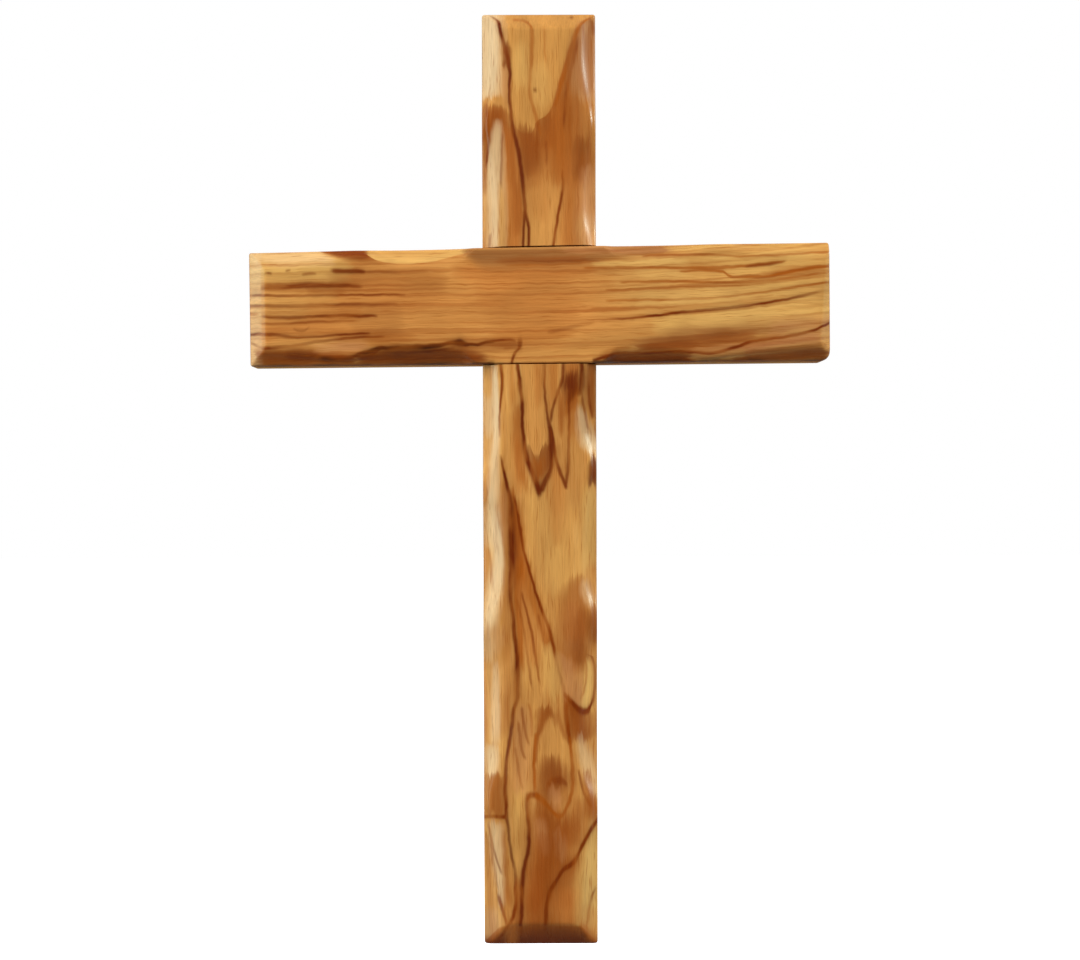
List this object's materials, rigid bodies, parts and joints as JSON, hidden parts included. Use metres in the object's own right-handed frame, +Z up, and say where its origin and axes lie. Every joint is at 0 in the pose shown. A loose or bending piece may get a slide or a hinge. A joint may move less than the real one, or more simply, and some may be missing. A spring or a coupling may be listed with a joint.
{
  "type": "wall cross",
  "caption": "Wall cross of halved olive wood bars with hand-carved scalloped front edges, flat end bevels and a sawtooth hanger let into the back.",
  "frame": {"origin": "on the flat back of the upright, in the middle of the crossing, where the back lies against the wall", "axes": "+X to the viewer's right, +Y into the wall, so that the carved front faces -Y, +Z up along the upright"},
  "size_m": [0.1587, 0.018, 0.254],
  "materials": {
    "upright_wood": "olive wood with long-grain figure, carved, sanded and oiled to a satin gloss",
    "crossbeam_wood": "olive wood with straight grain lines, carved, sanded and oiled to a satin gloss",
    "hanger_brass": "stamped brass-plated strip, satin",
    "nail_brass": "brass-plated round-headed nail, bright on the crown"
  },
  "bodies": {
    "root": {"upright": "upright_wood", "crossbeam": "crossbeam_wood", "sawtooth_hanger": "hanger_brass", "hanger_nail_left": "nail_brass", "hanger_nail_right": "nail_brass"}
  },
  "joints": []
}
